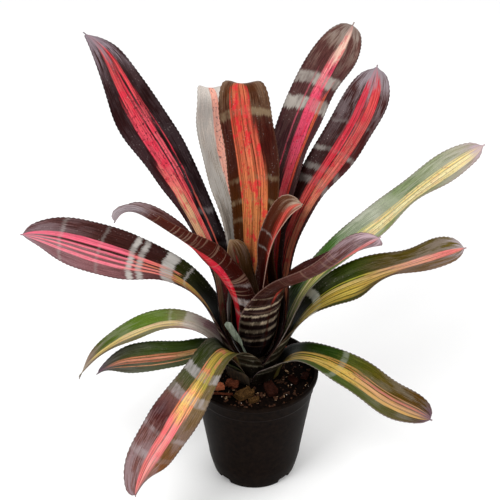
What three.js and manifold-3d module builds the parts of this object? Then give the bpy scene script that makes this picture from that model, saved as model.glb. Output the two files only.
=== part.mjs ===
// Potted variegated bromeliad: sixteen strap leaves in a tank rosette, in a black nursery pot.
// Units are millimetres, +Z is up, +X is to the right and -Y is the front.
// The origin is the centre of the pot's flat base, where the pot's axis meets the surface it stands on.
import * as THREE from "three";
import { ConvexGeometry } from "three/addons/geometries/ConvexGeometry.js";
import { mergeVertices } from "three/addons/utils/BufferGeometryUtils.js";
import Module from "manifold-3d";

// Pot
const POT_HEIGHT = 151;
const LIP_RADIUS = 78;
const LIP_DEPTH = 6;
const WALL = 1.5;
const SIDES = 48;
const COLLAR_RADIUS = 73.2;
const COLLAR_HEIGHT = 129;
const SHOULDER_RADIUS = 69.2;
const SHOULDER_HEIGHT = 107;
const HAUNCH_RADIUS = 58;
const HAUNCH_HEIGHT = 29;
const FOOT_RADIUS = 51;
const PAD_RADIUS = 38;
const GUTTER_RADIUS = 49.3;
const GUTTER_HEIGHT = 9;
const NOTCH_COUNT = 4;
const NOTCH_WIDTH = 18;
const NOTCH_HEIGHT = 7;
const NOTCH_DEPTH = 9;
const DRAIN_RADIUS = 4;
const DRAIN_CIRCLE = 44;
const DRAIN_SIDES = 16;

// Potting mix
const MIX_TOP = 137;
const MIX_GAP = 0.4;
const MIX_RELIEF = 1.5;
const MIX_RINGS = 6;

// Crown, the short stem that every leaf clasps
const CROWN_TOP = 168;
const CROWN_SHOULDER = 139.5;
const CROWN_RADIUS = 29.8;
const CROWN_FOOT = 106;
const CROWN_BACK = 15;
const CROWN_SIDES = 32;
const CROWN_GAP = 0.5;
const LAYER_STEP_OUT = 1.8;
const LAYER_STEP_DOWN = 1.9;
const INNER_LAYER_RADIUS = 5;
const LAYER_CLEARANCE = 2.2;

// Leaf blades
const LEAF_THICKNESS = 1.0;
const MARGIN_THICKNESS = 0.7;
const LEAF_COLUMNS = 6;
const STATION_SPACING = 17;
const RIB_STEPS = 160;
const TOOTH_DEPTH = 0.8;
const MARGIN_WAVE = 1.5;
const SPINE_SHARE = 0.025;
const SPINE_WIDTH = 2.4;
const SHEATH_WIDTH = 84;
const SHEATH_MAX_WRAP = 1.9;
const NECK_SHARE = 0.78;

// Bark chips
const CHIP_SIDES = 7;
const CHIP_REST = MIX_TOP + 2.2;

const radians = THREE.MathUtils.degToRad;
const wasm = await Module();
wasm.setup();

// Leaves from the heart of the rosette outward. Each is set by its own habit:
//   azimuth  the side of the crown it grows from, in degrees from +X toward +Y (the back)
//   length, width  of the flattened leaf, from its base to its spine tip
//   lean     the rib's angle from upright at seven even steps from base to tip
//   roll     the blade's turn about its rib at the middle, three quarters and tip
//   sway     the rib's turn sideways, in plan, at three quarters and the tip
//   channel  half of the gutter angle across the blade, at five even steps
//   taper, power  where the tip starts to narrow and how bluntly it ends
//   hook     an extra curl of the rib over the last part of the blade
//   start    radius, height and side of the base, where it isn't the next layer of the crown
const LEAVES = [
  { name: "leaf_heart", azimuth: 150, length: 152, width: 40, lean: [10, 4, 6, 9, 12, 18, 24],
    taper: 0.78, power: 3, sheathWidth: 40, sheathLength: 100, neck: 0.9 },
  { name: "leaf_inner_right", azimuth: 28, length: 223, width: 50, lean: [18, 6, 0, 0, 14, 24, 50],
    roll: [-18, 0, 0], sway: [-15, -8], taper: 0.74, power: 2.6, hook: 70, sheathWidth: 50 },
  { name: "leaf_inner_left", azimuth: 212, length: 306, width: 42, lean: [30, 4, 16, 36, 46, 54, 70],
    roll: [55, 15, 35], sway: [-30, -30], channel: [75, 75, 90, 95, 40], taper: 0.8, power: 2.6,
    hook: 85, sheathWidth: 70, sheathLength: 130, neck: 1 },
  { name: "leaf_inner_front", azimuth: 305, length: 300, width: 46, lean: [32, 8, 20, 48, 50, 44, 50],
    roll: [10, -10, -70], sway: [35, 30], channel: [80, 80, 90, 95, 10], taper: 0.84, power: 3,
    sheathWidth: 74, sheathLength: 170, neck: 0.9 },
  { name: "leaf_rear_middle", azimuth: 88, length: 355, width: 62, lean: [31, 5, 2, 12, 22, 18, 16],
    roll: [-10, -20, 5], sway: [30, 0], taper: 0.8, power: 3, hook: 110, sheathWidth: 82,
    sheathLength: 130 },
  { name: "leaf_rear_silver", azimuth: 108, length: 352, width: 58, lean: [33, 6, 8, 36, 46, 14, 14],
    roll: [0, -10, 10], sway: [5, 0], taper: 0.78, power: 3, hook: 110 },
  { name: "leaf_rear_tall", azimuth: 66, length: 445, width: 60, lean: [31, 4, 18, 42, 44, 58, 64],
    roll: [-15, 0, 30], sway: [-10, -5], taper: 0.76, power: 3, sheathLength: 120 },
  { name: "leaf_right_upright", azimuth: 37, length: 392, width: 64, lean: [33, 6, 12, 34, 50, 46, 36],
    roll: [-10, 0, -5], sway: [10, 32], taper: 0.76, power: 3, sheathLength: 120 },
  { name: "leaf_left_tall", azimuth: 150, length: 446, width: 66, lean: [34, 6, 24, 32, 36, 30, 30],
    roll: [-5, -25, 25], sway: [2, -14], taper: 0.55, power: 2.6, hook: 45, sheathLength: 120 },
  { name: "leaf_right_high", azimuth: 8, length: 380, width: 52, lean: [30, 16, 36, 50, 52, 56, 54],
    roll: [15, -5, 40], sway: [10, -5], sheathWidth: 76, sheathLength: 115 },
  { name: "leaf_left_spread", azimuth: 178, length: 334, width: 62, lean: [28, 18, 36, 68, 72, 70, 78],
    roll: [-10, -45, -10], sway: [0, 20], sheathWidth: 78, sheathLength: 100 },
  { name: "leaf_right_spread", azimuth: 352, length: 305, width: 56, lean: [24, 22, 38, 58, 60, 60, 66],
    roll: [30, 0, 25], sway: [-10, 0], taper: 0.75, power: 3, sheathWidth: 74 },
  { name: "leaf_front_low", azimuth: 232, length: 270, width: 60, lean: [18, 30, 116, 120, 128, 116, 102],
    roll: [-15, -5, 60], sway: [0, 30], taper: 0.78, power: 3, sheathWidth: 66, sheathLength: 80 },
  { name: "leaf_left_arched", azimuth: 188, length: 260, width: 50, lean: [12, 34, 62, 102, 120, 136, 160],
    roll: [0, 0, 5], sway: [-5, -20], taper: 0.4, power: 1.4, sheathWidth: 64, sheathLength: 75 },
  { name: "leaf_left_low", azimuth: 200, length: 190, width: 46, lean: [14, 40, 86, 84, 94, 102, 114],
    roll: [-15, -10, 35], sway: [-20, 10], sheathWidth: 60, sheathLength: 75 },
  { name: "leaf_right_low", azimuth: 325, length: 240, width: 54, lean: [8, 44, 80, 98, 112, 96, 86],
    roll: [10, 5, 0], sway: [5, 0], taper: 0.78, power: 3.2, sheathWidth: 70, sheathLength: 75 },
];

// What is left of two shed leaves: a strip cut square, and a dry base that still clasps the crown.
const REMNANTS = [
  { name: "cut_leaf_strip", azimuth: 190, length: 58, width: 8.5, lean: [24, 24, 24, 24, 25, 26, 26],
    roll: [70, 70, 70], channel: [8, 8, 8, 8, 8], neck: 1, taper: 0.96, power: 8, sheathWidth: 8.5,
    sheathLength: 20, start: [36, 186, 256], color: 0x76806a },
  { name: "old_leaf_base", azimuth: 232, length: 22, width: 36, lean: [16, 16, 14, 12, 10, 8, 8],
    channel: [60, 60, 60, 60, 60], neck: 1, taper: 0.4, power: 3, sheathWidth: 36, sheathLength: 60,
    start: [35, 140, 232], color: 0x4f3c26 },
];

// Bark chips on the mix: where each lies, its length, width and thickness, its turn in plan and its slope.
const CHIPS = [
  { at: [-43, -23], size: [14, 12, 5], turn: 15, slope: 4, color: 0xb8603c },
  { at: [-27, -18], size: [17, 14, 5], turn: -40, slope: -5, color: 0x6e3826 },
  { at: [-12.5, -39], size: [27, 14, 7], turn: 38, slope: 3, color: 0x6a5030 },
  { at: [-0.5, -47.5], size: [14, 8, 5], turn: 32, slope: 0, color: 0x5a4428 },
  { at: [19.5, -29], size: [24, 15, 6], turn: -62, slope: 6, color: 0x3e1c16 },
  { at: [-38, -36], size: [27, 2.6, 2.4], turn: -4, slope: 1, color: 0x8a4a34 },
  { at: [62, -3], size: [13, 9, 4], turn: 70, slope: 5, color: 0x54281c },
  { at: [47.5, -10], size: [17, 9, 4.5], turn: -50, slope: -3, color: 0x4a2219 },
  { at: [39, 50], size: [12, 7, 4], turn: 25, slope: 2, color: 0xa0603c },
];

// A smooth curve through evenly spaced values, read at s from 0 to 1.
function throughKnots(values, s) {
  const last = values.length - 1;
  const position = THREE.MathUtils.clamp(s, 0, 1) * last;
  const i = Math.min(Math.floor(position), last - 1);
  const t = position - i;
  const before = i > 0 ? values[i - 1] : 2 * values[0] - values[1];
  const after = i < last - 1 ? values[i + 2] : 2 * values[last] - values[last - 1];
  const [a, b] = [values[i], values[i + 1]];
  const bend = 2 * before - 5 * a + 4 * b - after + t * (3 * (a - b) + after - before);
  return a + 0.5 * t * (b - before + t * bend);
}

const smooth = (from, to, x) => THREE.MathUtils.smoothstep(x, from, to);

// Width of the flattened leaf: a broad clasping sheath, a narrower neck, a full blade and a tapered tip.
function leafWidth(leaf, s) {
  const { width, sheathWidth = SHEATH_WIDTH, sheathLength = 110, neck = NECK_SHARE } = leaf;
  const { taper = 0.7, power = 2.4 } = leaf;
  const along = s * leaf.length;
  const sheath = (neck - sheathWidth / width) * smooth(0.35 * sheathLength, 1.05 * sheathLength, along);
  const share = sheathWidth / width + sheath + (1 - neck) * smooth(0.34, 0.66, s);
  const t = THREE.MathUtils.clamp((s - taper) / (1 - SPINE_SHARE - taper), 0, 1);
  return Math.max(width * share * Math.sqrt(1 - t ** power), SPINE_WIDTH * (1.6 - s));
}

// The rib as a chain of points, each with the blade's sideways and inward directions.
function leafRib(leaf, layer) {
  const { azimuth, length, lean, roll = [0, 0, 0], sway = [0, 0], hook = 0 } = leaf;
  const nextRadius = INNER_LAYER_RADIUS + LAYER_STEP_OUT * layer;
  const [radius, height, side] = leaf.start ?? [nextRadius, CROWN_TOP - LAYER_STEP_DOWN * layer, azimuth];
  const base = radians(side);
  const point = new THREE.Vector3(radius * Math.cos(base), radius * Math.sin(base), height);
  const frames = [];
  let previous = null;
  for (let step = 0; step <= RIB_STEPS; step++) {
    const s = step / RIB_STEPS;
    const pitch = radians(throughKnots(lean, s) + hook * smooth(0.87, 1, s));
    const heading = radians(azimuth + throughKnots([0, 0, 0, ...sway], s));
    const outward = new THREE.Vector3(Math.cos(heading), Math.sin(heading), 0);
    const tangent = outward.clone().multiplyScalar(Math.sin(pitch)).setZ(Math.cos(pitch));
    if (previous) {
      point.addScaledVector(previous.clone().add(tangent), 0.5 * length / RIB_STEPS);
    }
    previous = tangent;
    const across = new THREE.Vector3(-Math.sin(heading), Math.cos(heading), 0);
    const free = sheathFreedom(leaf, s);
    const inward = tangent.clone().cross(across).multiplyScalar(free);
    inward.addScaledVector(outward, free - 1).normalize();
    const turn = radians(throughKnots([0, 0, ...roll], s));
    frames.push({
      s,
      point: point.clone(),
      across: across.clone().multiplyScalar(Math.cos(turn)).addScaledVector(inward, Math.sin(turn)),
      inward: inward.clone().multiplyScalar(Math.cos(turn)).addScaledVector(across, -Math.sin(turn)),
    });
  }
  return frames;
}

// 0 where the leaf clasps the tank in level rings, 1 where it is a free blade.
function sheathFreedom(leaf, s) {
  const { sheathLength = 110 } = leaf;
  return smooth(0.5 * sheathLength, 1.1 * sheathLength, s * leaf.length);
}

// Point and inward normal at u (-1 to 1 across) on the leaf's middle surface.
function leafPoint(leaf, frame, u, extra) {
  const half = leafWidth(leaf, frame.s) / 2 + extra;
  const { channel = [60, 45, 35, 30, 20] } = leaf;
  const reach = Math.hypot(frame.point.x, frame.point.y);
  const ring = 1 / Math.max(reach, 3);
  const gutter = radians(throughKnots(channel, frame.s)) / Math.max(half, 0.175 * leaf.width);
  const bend = ring + (gutter - ring) * sheathFreedom(leaf, frame.s);
  const angle = THREE.MathUtils.clamp(half * bend, 0, SHEATH_MAX_WRAP) * u;
  const wave = MARGIN_WAVE * u * u * Math.sin(frame.s * leaf.length / 14 + leaf.azimuth + u)
    * smooth(0.4, 0.6, frame.s) * smooth(1, 0.9, frame.s);
  const normal = frame.inward.clone().multiplyScalar(Math.cos(angle));
  normal.addScaledVector(frame.across, -Math.sin(angle));
  const point = frame.point.clone().addScaledVector(frame.across, Math.sin(angle) / bend);
  point.addScaledVector(frame.inward, (1 - Math.cos(angle)) / bend);
  point.addScaledVector(normal, wave);
  return { point, normal };
}

// A closed blade: a long flat block, one step per station and column, bent along its rib and across
// its channel, with toothed margins.
function leafGeometry(leaf, layer) {
  const rib = leafRib(leaf, layer);
  const stations = Math.round(leaf.length / STATION_SPACING);
  const geometry = new THREE.BoxGeometry(2, 2, 1, LEAF_COLUMNS, 1, stations);
  const corner = geometry.attributes.position;
  for (let i = 0; i < corner.count; i++) {
    const station = Math.round((corner.getZ(i) + 0.5) * stations);
    const frame = rib[Math.round(station / stations * RIB_STEPS)];
    const u = corner.getX(i);
    const toothed = Math.abs(u) > 0.999 && station % 2 === 1 && station < stations - 1;
    const { point, normal } = leafPoint(leaf, frame, u, toothed ? TOOTH_DEPTH : 0);
    const half = THREE.MathUtils.lerp(LEAF_THICKNESS, MARGIN_THICKNESS, u * u) / 2;
    point.addScaledVector(normal, half * corner.getY(i));
    corner.setXYZ(i, point.x, point.y, point.z);
  }
  evenSplits(geometry);
  return geometry.translate(0, CROWN_BACK, 0);
}

// Splits the quads on a block's +Y side along the same diagonals as those under them, so that a blade
// bent from it keeps an even thickness.
function evenSplits(geometry) {
  const [, , upper] = geometry.groups;
  const { start, count } = upper;
  const corners = geometry.index.array;
  for (let i = start; i < start + count; i += 6) {
    const [a, b, d, , c] = corners.slice(i, i + 6);
    corners.set([a, b, c, a, c, d], i);
  }
}

// A shape turned about +Z from an outline of [radius, height] pairs that starts and ends on the axis.
function turned(outline, sides) {
  const points = outline.map(([radius, height]) => new THREE.Vector2(radius, height));
  return new THREE.LatheGeometry(points, sides).rotateX(Math.PI / 2);
}

// A closed shape as a solid that can be cut.
function solidOf(geometry) {
  geometry.deleteAttribute("normal");
  geometry.deleteAttribute("uv");
  const { attributes, index } = mergeVertices(geometry);
  const corners = Array.from(index.array);
  const faces = [];
  for (let i = 0; i < corners.length; i += 3) {
    const face = corners.slice(i, i + 3);
    if (new Set(face).size === 3) {
      faces.push(...face);
    }
  }
  const vertProperties = attributes.position.array;
  return new wasm.Manifold(new wasm.Mesh({ numProp: 3, vertProperties, triVerts: new Uint32Array(faces) }));
}

// The faces of a cut solid.
function geometryOf(solid) {
  const { vertProperties, triVerts } = solid.getMesh();
  const geometry = new THREE.BufferGeometry();
  geometry.setAttribute("position", new THREE.BufferAttribute(vertProperties, 3));
  geometry.setIndex(Array.from(triVerts));
  return geometry;
}

// The pot's outside, from the middle of its base up to the lip.
const potOutside = [
  [0, 0], [PAD_RADIUS, 0], [PAD_RADIUS, GUTTER_HEIGHT], [GUTTER_RADIUS + 0.2, GUTTER_HEIGHT],
  [GUTTER_RADIUS, 0], [FOOT_RADIUS, 0], [FOOT_RADIUS + 1.5, 2.5], [FOOT_RADIUS + 3.4, 10],
  [HAUNCH_RADIUS - 1.4, 20], [HAUNCH_RADIUS, HAUNCH_HEIGHT], [SHOULDER_RADIUS, SHOULDER_HEIGHT],
  [COLLAR_RADIUS - 1, COLLAR_HEIGHT - 1], [COLLAR_RADIUS, COLLAR_HEIGHT],
  [COLLAR_RADIUS + 1.2, POT_HEIGHT - LIP_DEPTH - 0.6], [LIP_RADIUS - 1, POT_HEIGHT - LIP_DEPTH],
  [LIP_RADIUS, POT_HEIGHT - LIP_DEPTH + 1.4], [LIP_RADIUS, POT_HEIGHT - 1.4], [LIP_RADIUS - 1, POT_HEIGHT],
];

// Its inside, from the floor up, grown inward by a gap where the mix fills it.
const potInside = (gap) => [
  [0, WALL + gap], [PAD_RADIUS - WALL - gap, WALL + gap],
  [PAD_RADIUS - WALL - gap, GUTTER_HEIGHT + WALL + gap],
  [FOOT_RADIUS + 2 - gap, GUTTER_HEIGHT + WALL + gap], [HAUNCH_RADIUS - WALL - 1.6 - gap, 20],
  [HAUNCH_RADIUS - WALL - gap, HAUNCH_HEIGHT], [SHOULDER_RADIUS - WALL - gap, SHOULDER_HEIGHT],
  [COLLAR_RADIUS - WALL - 1 - gap, COLLAR_HEIGHT - 1],
  [COLLAR_RADIUS - WALL - 0.1 - gap, COLLAR_HEIGHT + 0.5],
];

function pot() {
  const mouth = [[COLLAR_RADIUS - 0.3, POT_HEIGHT - LIP_DEPTH - 0.6], [COLLAR_RADIUS + 0.2, POT_HEIGHT - 1.2],
    [COLLAR_RADIUS + 1.4, POT_HEIGHT]];
  let solid = solidOf(turned([...potOutside, ...[...potInside(0), ...mouth].reverse()], SIDES));
  for (let i = 0; i < NOTCH_COUNT; i++) {
    const turn = 2 * Math.PI * (i + 0.5) / NOTCH_COUNT;
    const notch = new THREE.BoxGeometry(NOTCH_DEPTH, NOTCH_WIDTH, 2 * NOTCH_HEIGHT);
    notch.translate(FOOT_RADIUS + 1, 0, 0).rotateZ(turn);
    const drain = new THREE.CylinderGeometry(DRAIN_RADIUS, DRAIN_RADIUS, 4 * WALL, DRAIN_SIDES);
    drain.rotateX(Math.PI / 2).translate(DRAIN_CIRCLE, 0, GUTTER_HEIGHT).rotateZ(turn);
    solid = solid.subtract(solidOf(notch)).subtract(solidOf(drain));
  }
  return geometryOf(solid);
}

// Top of the mix above its mean level, raked into low mounds.
function relief(x, y) {
  return MIX_RELIEF * (Math.sin(x / 9 + 1) * Math.cos(y / 8) + 0.5 * Math.sin((x + y) / 5.5)) / 1.5;
}

const crownOutline = (gap) => [
  [0, CROWN_FOOT - gap], [13 + gap, CROWN_FOOT + 1 - gap], [23 + gap, CROWN_FOOT + 9],
  [CROWN_RADIUS - 1 + gap, CROWN_FOOT + 20], [CROWN_RADIUS + gap, CROWN_SHOULDER],
];

function crown() {
  const tip = INNER_LAYER_RADIUS - LAYER_CLEARANCE;
  return turned([...crownOutline(0), [tip, CROWN_TOP], [0, CROWN_TOP + 0.5]], CROWN_SIDES)
    .translate(0, CROWN_BACK, 0);
}

function pottingMix() {
  const inside = potInside(MIX_GAP);
  const rim = COLLAR_RADIUS - WALL - MIX_GAP + 0.4;
  const rings = Array.from({ length: MIX_RINGS }, (_, i) => [rim * (1 - i / MIX_RINGS), MIX_TOP]);
  const heap = turned([...inside, ...rings, [0, MIX_TOP]], SIDES);
  const corner = heap.attributes.position;
  for (let i = 0; i < corner.count; i++) {
    const [x, y, z] = [corner.getX(i), corner.getY(i), corner.getZ(i)];
    if (z > MIX_TOP - 0.1) {
      corner.setZ(i, z + relief(x, y));
    }
  }
  const hole = turned([...crownOutline(CROWN_GAP), [0, CROWN_SHOULDER]], CROWN_SIDES);
  return geometryOf(solidOf(heap).subtract(solidOf(hole.translate(0, CROWN_BACK, 0))));
}

// A bark chip: an uneven slab, wider below than above.
function barkChip([length, width, thickness], seed) {
  const points = [];
  for (const [level, share] of [[0, 0.92], [0.6, 1], [1, 0.8]]) {
    for (let i = 0; i < CHIP_SIDES; i++) {
      const angle = 2 * Math.PI * i / CHIP_SIDES + 0.3 * Math.sin(seed * 5 + i * 7);
      const reach = share * (1 + 0.12 * Math.sin(seed * 11 + i * 5 + level * 3)) / 2;
      points.push(new THREE.Vector3(length * reach * Math.cos(angle), width * reach * Math.sin(angle),
        thickness * level));
    }
  }
  return new ConvexGeometry(points);
}

const group = new THREE.Group();

function add(name, geometry, color, roughness) {
  const material = new THREE.MeshStandardMaterial({ color, roughness, metalness: 0 });
  const mesh = new THREE.Mesh(geometry, material);
  mesh.name = name;
  group.add(mesh);
  return mesh;
}

add("pot", pot(), 0x1b1a1a, 0.4);
add("potting_mix", pottingMix(), 0x1c1411, 0.95);
add("crown", crown(), 0x3a2a1e, 0.8);
LEAVES.forEach((leaf, layer) => add(leaf.name, leafGeometry(leaf, layer), 0x4a2a2c, 0.4));
REMNANTS.forEach((leaf) => add(leaf.name, leafGeometry(leaf), leaf.color, 0.7));
CHIPS.forEach(({ at: [x, y], size, turn, slope, color }, i) => {
  const chip = add(`bark_chip_${i + 1}`, barkChip(size, i), color, 0.9);
  const rise = size[0] / 2 * Math.sin(radians(Math.abs(slope)));
  chip.position.set(x, y, CHIP_REST + rise);
  chip.rotation.set(0, radians(slope), radians(turn), "ZYX");
});

export default group;
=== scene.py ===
# Potted variegated bromeliad: the finished leaves, mix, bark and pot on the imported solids.
import math
from types import SimpleNamespace

import bpy
from mathutils import Euler, Matrix, Vector, noise


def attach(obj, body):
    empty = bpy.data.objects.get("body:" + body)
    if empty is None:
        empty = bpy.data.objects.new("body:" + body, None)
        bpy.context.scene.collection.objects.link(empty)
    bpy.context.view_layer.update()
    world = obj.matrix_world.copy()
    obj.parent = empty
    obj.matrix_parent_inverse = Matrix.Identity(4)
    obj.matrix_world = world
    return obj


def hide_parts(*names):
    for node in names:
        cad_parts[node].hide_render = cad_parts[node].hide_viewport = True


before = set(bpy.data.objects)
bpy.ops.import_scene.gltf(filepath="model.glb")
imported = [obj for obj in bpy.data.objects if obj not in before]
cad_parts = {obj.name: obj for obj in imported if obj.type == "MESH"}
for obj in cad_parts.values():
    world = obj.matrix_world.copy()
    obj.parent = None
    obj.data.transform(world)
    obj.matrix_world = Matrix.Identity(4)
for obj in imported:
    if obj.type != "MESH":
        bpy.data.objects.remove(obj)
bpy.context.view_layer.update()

MM = 0.001

# Crown: leaves start on level rings round it, each layer a little wider and lower than the last.
CROWN_BACK = 15
CROWN_TOP = 168
LAYER_STEP_OUT = 1.8
LAYER_STEP_DOWN = 1.9
INNER_LAYER_RADIUS = 5

# Blades
BLADE_THICKNESS = 0.9
ROW_SPACING = 2.6
TOOTH_DEPTH = 0.75
MARGIN_WAVE = 1.5
SPINE_SHARE = 0.012
SPINE_WIDTH = 2.4
SHEATH_MAX_WRAP = 1.9
USUAL_SHEATH = (84, 110)
USUAL_CHANNEL = [60, 45, 35, 30, 20]
RIB_STEPS = 160

LEAVES = {
    "leaf_heart": dict(azimuth=150, length=152, width=40, lean=[10, 4, 6, 9, 12, 18, 24], end=(0.78, 3),
        sheath=(40, 100), neck=0.9),
    "leaf_inner_right": dict(azimuth=28, length=223, width=50, lean=[18, 6, 0, 0, 14, 24, 50],
        roll=[-18, 0, 0], sway=[-15, -8], end=(0.74, 2.6), hook=70, sheath=(50, 110)),
    "leaf_inner_left": dict(azimuth=212, length=306, width=42, lean=[30, 4, 16, 36, 46, 54, 70],
        roll=[55, 15, 35], sway=[-30, -30], channel=[75, 75, 90, 95, 40], end=(0.8, 2.6), hook=85,
        sheath=(70, 130), neck=1),
    "leaf_inner_front": dict(azimuth=305, length=300, width=46, lean=[32, 8, 20, 48, 50, 44, 50],
        roll=[10, -10, -70], sway=[35, 30], channel=[80, 80, 90, 95, 10], end=(0.84, 3), sheath=(74, 170),
        neck=0.9),
    "leaf_rear_middle": dict(azimuth=88, length=355, width=62, lean=[31, 5, 2, 12, 22, 18, 16],
        roll=[-10, -20, 5], sway=[30, 0], end=(0.8, 3), hook=110, sheath=(82, 130)),
    "leaf_rear_silver": dict(azimuth=108, length=352, width=58, lean=[33, 6, 8, 36, 46, 14, 14],
        roll=[0, -10, 10], sway=[5, 0], end=(0.78, 3), hook=110),
    "leaf_rear_tall": dict(azimuth=66, length=445, width=60, lean=[31, 4, 18, 42, 44, 58, 64],
        roll=[-15, 0, 30], sway=[-10, -5], end=(0.76, 3), sheath=(84, 120)),
    "leaf_right_upright": dict(azimuth=37, length=392, width=64, lean=[33, 6, 12, 34, 50, 46, 36],
        roll=[-10, 0, -5], sway=[10, 32], end=(0.76, 3), sheath=(84, 120)),
    "leaf_left_tall": dict(azimuth=150, length=446, width=66, lean=[34, 6, 24, 32, 36, 30, 30],
        roll=[-5, -25, 25], sway=[2, -14], end=(0.55, 2.6), hook=45, sheath=(84, 120)),
    "leaf_right_high": dict(azimuth=8, length=380, width=52, lean=[30, 16, 36, 50, 52, 56, 54],
        roll=[15, -5, 40], sway=[10, -5], sheath=(76, 115)),
    "leaf_left_spread": dict(azimuth=178, length=334, width=62, lean=[28, 18, 36, 68, 72, 70, 78],
        roll=[-10, -45, -10], sway=[0, 20], sheath=(78, 100)),
    "leaf_right_spread": dict(azimuth=352, length=305, width=56, lean=[24, 22, 38, 58, 60, 60, 66],
        roll=[30, 0, 25], sway=[-10, 0], end=(0.75, 3), sheath=(74, 110)),
    "leaf_front_low": dict(azimuth=232, length=270, width=60, lean=[18, 30, 116, 120, 128, 116, 102],
        roll=[-15, -5, 60], sway=[0, 30], end=(0.78, 3), sheath=(66, 80)),
    "leaf_left_arched": dict(azimuth=188, length=260, width=50, lean=[12, 34, 62, 102, 120, 136, 160],
        roll=[0, 0, 5], sway=[-5, -20], end=(0.4, 1.4), sheath=(64, 75)),
    "leaf_left_low": dict(azimuth=200, length=190, width=46, lean=[14, 40, 86, 84, 94, 102, 114],
        roll=[-15, -10, 35], sway=[-20, 10], sheath=(60, 75)),
    "leaf_right_low": dict(azimuth=325, length=240, width=54, lean=[8, 44, 80, 98, 112, 96, 86],
        roll=[10, 5, 0], sway=[5, 0], end=(0.78, 3.2), sheath=(70, 75)),
}

REMNANTS = {
    "cut_leaf_strip": dict(azimuth=190, length=58, width=8.5, lean=[24, 24, 24, 24, 25, 26, 26],
        roll=[70, 70, 70], channel=[8] * 5, neck=1, end=(0.96, 8), sheath=(8.5, 20), start=(36, 186, 256)),
    "old_leaf_base": dict(azimuth=232, length=22, width=36, lean=[16, 16, 14, 12, 10, 8, 8],
        channel=[60] * 5, neck=1, end=(0.4, 3), sheath=(36, 60), start=(35, 140, 232)),
}


def through_knots(values, s):
    """A smooth curve through evenly spaced values, read at s from 0 to 1."""
    last = len(values) - 1
    position = min(max(s, 0), 1) * last
    i = min(int(position), last - 1)
    t = position - i
    before = values[i - 1] if i else 2 * values[0] - values[1]
    after = values[i + 2] if i < last - 1 else 2 * values[last] - values[last - 1]
    a, b = values[i], values[i + 1]
    bend = 2 * before - 5 * a + 4 * b - after + t * (3 * (a - b) + after - before)
    return a + 0.5 * t * (b - before + t * bend)


def smooth(low, high, x):
    t = min(max((x - low) / (high - low), 0), 1)
    return t * t * (3 - 2 * t)


def leaf_width(leaf, s):
    """Width of the flattened leaf: broad sheath, neck, full blade, tapered tip."""
    width = leaf["width"]
    sheath_width, sheath_length = leaf.get("sheath", USUAL_SHEATH)
    neck = leaf.get("neck", 0.78)
    taper, power = leaf.get("end", (0.7, 2.4))
    along = s * leaf["length"]
    share = sheath_width / width + (1 - neck) * smooth(0.34, 0.66, s)
    share += (neck - sheath_width / width) * smooth(0.35 * sheath_length, 1.05 * sheath_length, along)
    t = min(max((s - taper) / (1 - SPINE_SHARE - taper), 0), 1)
    return max(width * share * math.sqrt(1 - t ** power), SPINE_WIDTH * (1.6 - s))


def sheath_freedom(leaf, s):
    """0 where the leaf clasps the tank in level rings, 1 where it is a free blade."""
    length = leaf.get("sheath", USUAL_SHEATH)[1]
    return smooth(0.5 * length, 1.1 * length, s * leaf["length"])


def leaf_rib(leaf, layer):
    """The rib as a chain of (point, sideways, inward)."""
    radius, height, side = leaf.get("start") or (INNER_LAYER_RADIUS + LAYER_STEP_OUT * layer,
                                                 CROWN_TOP - LAYER_STEP_DOWN * layer, leaf["azimuth"])
    base = math.radians(side)
    point = Vector((radius * math.cos(base), radius * math.sin(base), height))
    roll = [0, 0, *leaf.get("roll", [0, 0, 0])]
    sway = [0, 0, 0, *leaf.get("sway", [0, 0])]
    frames = []
    previous = None
    for step in range(RIB_STEPS + 1):
        s = step / RIB_STEPS
        pitch = math.radians(through_knots(leaf["lean"], s) + leaf.get("hook", 0) * smooth(0.87, 1, s))
        heading = math.radians(leaf["azimuth"] + through_knots(sway, s))
        outward = Vector((math.cos(heading), math.sin(heading), 0))
        tangent = outward * math.sin(pitch) + Vector((0, 0, math.cos(pitch)))
        if previous:
            point = point + (previous + tangent) * (0.5 * leaf["length"] / RIB_STEPS)
        previous = tangent
        across = Vector((-math.sin(heading), math.cos(heading), 0))
        free = sheath_freedom(leaf, s)
        inward = (tangent.cross(across) * free + outward * (free - 1)).normalized()
        turn = math.radians(through_knots(roll, s))
        frames.append((point, across * math.cos(turn) + inward * math.sin(turn),
                       inward * math.cos(turn) - across * math.sin(turn)))
    return frames


def leaf_point(leaf, frames, s, u, extra):
    """Point on the middle surface, u from -1 to 1 across."""
    place = s * RIB_STEPS
    i = min(int(place), RIB_STEPS - 1)
    t = place - i
    point, across, inward = (a.lerp(b, t) for a, b in zip(frames[i], frames[i + 1]))
    half = leaf_width(leaf, s) / 2 + extra
    ring = 1 / max(math.hypot(point.x, point.y), 3)
    channel = leaf.get("channel", USUAL_CHANNEL)
    gutter = math.radians(through_knots(channel, s)) / max(half, 0.175 * leaf["width"])
    bend = ring + (gutter - ring) * sheath_freedom(leaf, s)
    angle = min(max(half * bend, 0), SHEATH_MAX_WRAP) * u
    wave = MARGIN_WAVE * u * u * math.sin(s * leaf["length"] / 14 + leaf["azimuth"] + u)
    wave *= smooth(0.4, 0.6, s) * (1 - smooth(0.9, 1, s))
    normal = inward * math.cos(angle) - across * math.sin(angle)
    return (point + across * (math.sin(angle) / bend) + inward * ((1 - math.cos(angle)) / bend)
            + normal * wave + Vector((0, CROWN_BACK, 0)))


# Making and finishing pieces

def deselect():
    if bpy.context.object and bpy.context.object.mode != "OBJECT":
        bpy.ops.object.mode_set(mode="OBJECT")
    bpy.ops.object.select_all(action="DESELECT")


def apply_modifier(piece, kind, **settings):
    """Adds a modifier, sets it and applies it."""
    deselect()
    piece.select_set(True)
    bpy.context.view_layer.objects.active = piece
    modifier = piece.modifiers.new(kind.lower(), kind)
    for key, value in settings.items():
        setattr(modifier, key, value)
    bpy.ops.object.modifier_apply(modifier=modifier.name)


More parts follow.
